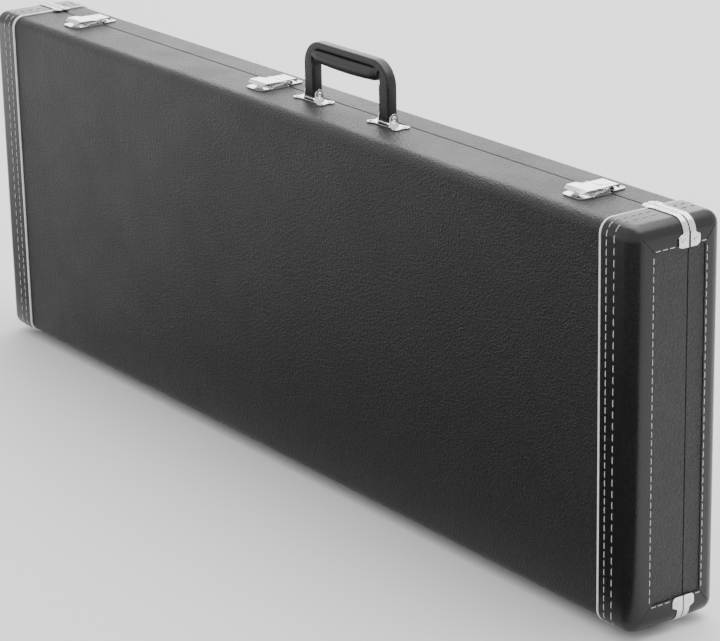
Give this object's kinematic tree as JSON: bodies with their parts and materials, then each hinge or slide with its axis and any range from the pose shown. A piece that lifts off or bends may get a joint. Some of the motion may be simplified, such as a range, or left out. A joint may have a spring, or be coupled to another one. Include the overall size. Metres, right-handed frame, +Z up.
{
  "type": "guitar case",
  "caption": "Long rectangular hardshell guitar case in black vinyl, standing on its hinge side, with stitched end caps, chrome corner clamps, drawbolt latches and a folding handle.",
  "frame": {"origin": "on the floor under the middle of the case, as it stands on its hinge side with the handle up", "axes": "+X along the case towards the end nearer the handle, -Y out of the deep shell's broad face, +Y out of the lid, +Z up"},
  "size_m": [1.0542, 0.0986, 0.4208],
  "materials": {
    "shell_vinyl": "pebble-grained vinyl over plywood",
    "end_vinyl": "smooth satin vinyl, stitched in white",
    "piping": "white piping",
    "chrome": "polished plate",
    "hinge_steel": "nickel plate",
    "handle_vinyl": "smooth satin leatherette",
    "plush": "short black plush",
    "rim_wood": "plain plywood",
    "foot_rubber": "matt"
  },
  "bodies": {
    "base": {"base_shell": "shell_vinyl", "base_rim": "rim_wood", "base_lining": "plush", "neck_block": "plush", "accessory_box": "plush", "base_end_cap_left": "end_vinyl", "base_end_cap_right": "end_vinyl", "base_piping_left": "piping", "base_piping_right": "piping", "base_foot_left": "foot_rubber", "base_foot_right": "foot_rubber", "base_clamp_top_left": "chrome", "base_clamp_top_right": "chrome", "base_clamp_bottom_left": "chrome", "base_clamp_bottom_right": "chrome", "hinge_base_leaf_left": "hinge_steel", "hinge_base_leaf_middle": "hinge_steel", "hinge_base_leaf_right": "hinge_steel", "hinge_pin_left": "hinge_steel", "hinge_pin_middle": "hinge_steel", "hinge_pin_right": "hinge_steel", "latch_base_left": "chrome", "latch_base_middle": "chrome", "latch_base_right": "chrome", "handle_plate_left": "chrome", "handle_plate_right": "chrome", "handle_pin_left": "chrome", "handle_pin_right": "chrome"},
    "lid": {"lid_shell": "shell_vinyl", "lid_lining": "plush", "lid_end_cap_left": "end_vinyl", "lid_end_cap_right": "end_vinyl", "lid_piping_left": "piping", "lid_piping_right": "piping", "lid_foot_left": "foot_rubber", "lid_foot_right": "foot_rubber", "lid_clamp_top_left": "chrome", "lid_clamp_top_right": "chrome", "lid_clamp_bottom_left": "chrome", "lid_clamp_bottom_right": "chrome", "hinge_lid_leaf_left": "hinge_steel", "hinge_lid_leaf_middle": "hinge_steel", "hinge_lid_leaf_right": "hinge_steel", "latch_catch_left": "chrome", "latch_catch_middle": "chrome", "latch_catch_right": "chrome"},
    "handle": {"handle_strap": "handle_vinyl", "handle_grip": "handle_vinyl"},
    "lever_left": {"latch_lever_left": "chrome", "latch_link_pin_left": "chrome"},
    "link_left": {"latch_link_left": "chrome"},
    "lever_middle": {"latch_lever_middle": "chrome", "latch_link_pin_middle": "chrome"},
    "link_middle": {"latch_link_middle": "chrome"},
    "lever_right": {"latch_lever_right": "chrome", "latch_link_pin_right": "chrome"},
    "link_right": {"latch_link_right": "chrome"},
    "flap": {"accessory_flap": "plush", "flap_pull_tab": "end_vinyl"}
  },
  "joints": [
    {"name": "lid_hinge", "type": "hinge", "parent": "base", "child": "lid", "pos_m": [0, 0.01035, 0.0054], "axis": [-1, 0, 0], "range_deg": [0, 100]},
    {"name": "handle_fold", "type": "hinge", "parent": "base", "child": "handle", "pos_m": [0.074, -0.00235, 0.3693], "axis": [1, 0, 0], "range_deg": [-75, 75]},
    {"name": "flap_hinge", "type": "hinge", "parent": "base", "child": "flap", "pos_m": [-0.175, -0.01525, 0.3475], "axis": [1, 0, 0], "range_deg": [0, 90]},
    {"name": "latch_lever_left_turn", "type": "hinge", "parent": "base", "child": "lever_left", "pos_m": [-0.405, 0.00565, 0.3653], "axis": [-1, 0, 0], "range_deg": [0, 80]},
    {"name": "latch_link_left_turn", "type": "hinge", "parent": "lever_left", "child": "link_left", "pos_m": [-0.405, -0.00335, 0.3653], "axis": [-1, 0, 0], "range_deg": [-88.5, 0]},
    {"name": "latch_lever_middle_turn", "type": "hinge", "parent": "base", "child": "lever_middle", "pos_m": [-0.057, 0.00565, 0.3653], "axis": [-1, 0, 0], "range_deg": [0, 80]},
    {"name": "latch_link_middle_turn", "type": "hinge", "parent": "lever_middle", "child": "link_middle", "pos_m": [-0.057, -0.00335, 0.3653], "axis": [-1, 0, 0], "range_deg": [-88.5, 0]},
    {"name": "latch_lever_right_turn", "type": "hinge", "parent": "base", "child": "lever_right", "pos_m": [0.417, 0.00565, 0.3653], "axis": [-1, 0, 0], "range_deg": [0, 80]},
    {"name": "latch_link_right_turn", "type": "hinge", "parent": "lever_right", "child": "link_right", "pos_m": [0.417, -0.00335, 0.3653], "axis": [-1, 0, 0], "range_deg": [-88.5, 0]}
  ],
  "couplings": [
    {"joint": "latch_link_left_turn", "follows": "latch_lever_left_turn", "ratio": -1.1},
    {"joint": "latch_link_middle_turn", "follows": "latch_lever_middle_turn", "ratio": -1.1},
    {"joint": "latch_link_right_turn", "follows": "latch_lever_right_turn", "ratio": -1.1}
  ]
}
